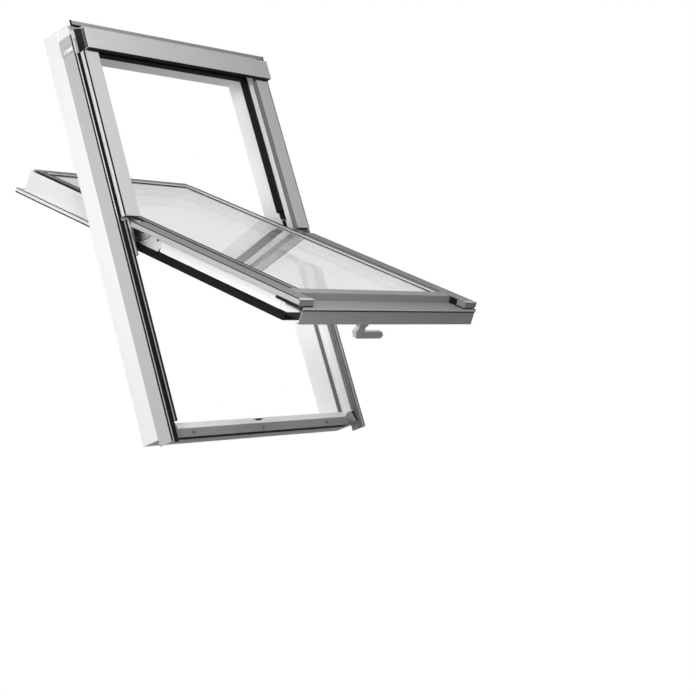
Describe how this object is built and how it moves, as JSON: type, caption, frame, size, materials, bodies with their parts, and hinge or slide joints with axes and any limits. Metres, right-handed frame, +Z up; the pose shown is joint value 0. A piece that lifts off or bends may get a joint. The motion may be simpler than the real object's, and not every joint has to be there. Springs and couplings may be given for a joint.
{
  "type": "roof skylight",
  "caption": "Centre-pivot roof skylight: white PVC frame with grey metal cladding and a double-glazed sash that swings open on curved hinge guides, with a lever latch.",
  "frame": {"origin": "middle of the seat on the underside of the sill, in the window's middle plane", "axes": "+X across the window to the right as seen from outside, +Y from outside to the room, +Z up along the frame"},
  "size_m": [0.784, 0.8878, 1.152],
  "materials": {
    "frame_pvc": "smooth white",
    "sash_pvc": "smooth white",
    "cladding": "satin grey coating on folded aluminium",
    "seal": "matt black",
    "black_plastic": "matt black",
    "grey_plastic": "satin grey",
    "glass": "clear float glass",
    "spacer": "bare",
    "hinge_metal": "zinc bright",
    "fastener": "zinc bright",
    "handle": "satin grey"
  },
  "bodies": {
    "frame": {"left_jamb": "frame_pvc", "right_jamb": "frame_pvc", "left_side_cladding": "cladding", "right_side_cladding": "cladding", "left_channel_seal": "seal", "right_channel_seal": "seal", "left_front_seal": "seal", "right_front_seal": "seal", "left_upper_cover": "cladding", "right_upper_cover": "cladding", "left_cover_plug": "black_plastic", "right_cover_plug": "black_plastic", "left_hood_end_cap": "black_plastic", "right_hood_end_cap": "black_plastic", "left_corner_cap": "grey_plastic", "right_corner_cap": "grey_plastic", "left_ledge_seal": "seal", "right_ledge_seal": "seal", "left_hinge_guide": "hinge_metal", "right_hinge_guide": "hinge_metal", "head": "frame_pvc", "sill": "frame_pvc", "hood": "cladding", "hood_seal": "seal", "upper_seal": "seal", "sill_cladding": "cladding", "sill_seal": "seal", "sill_screws": "fastener", "keeper": "black_plastic", "guide_screws": "fastener"},
    "sash": {"left_stile": "sash_pvc", "right_stile": "sash_pvc", "left_stile_extension": "sash_pvc", "right_stile_extension": "sash_pvc", "left_sash_seal": "seal", "right_sash_seal": "seal", "left_stile_cladding": "cladding", "right_stile_cladding": "cladding", "left_side_strip": "cladding", "right_side_strip": "cladding", "left_corner_plug": "black_plastic", "right_corner_plug": "black_plastic", "left_rail_plug": "black_plastic", "right_rail_plug": "black_plastic", "left_hinge_slide": "hinge_metal", "right_hinge_slide": "hinge_metal", "top_rail": "sash_pvc", "bottom_rail": "sash_pvc", "outer_pane": "glass", "inner_pane": "glass", "glass_spacer": "spacer", "outer_gasket": "seal", "inner_gasket": "seal", "top_strip": "cladding", "rail_cladding": "cladding", "drip_cover": "cladding", "slide_screws": "fastener", "handle_base": "handle"},
    "lever": {"lever": "handle"},
    "bolt": {"latch_bolt": "fastener"}
  },
  "joints": [
    {"name": "sash_pivot", "type": "hinge", "parent": "frame", "child": "sash", "pos_m": [0, -0.115, 0.576], "axis": [-1, 0, 0], "range_deg": [-50, 40]},
    {"name": "lever_turn", "type": "hinge", "parent": "sash", "child": "lever", "pos_m": [0.014, -0.43124, 0.15791], "axis": [0, -0.6428, 0.766], "range_deg": [0, 90]},
    {"name": "bolt_slide", "type": "slide", "parent": "sash", "child": "bolt", "axis": [0, -0.766, -0.6428], "range_m": [0, 0.013]}
  ],
  "couplings": [
    {"joint": "bolt_slide", "follows": "lever_turn", "m_per_rad": 0.008276}
  ]
}
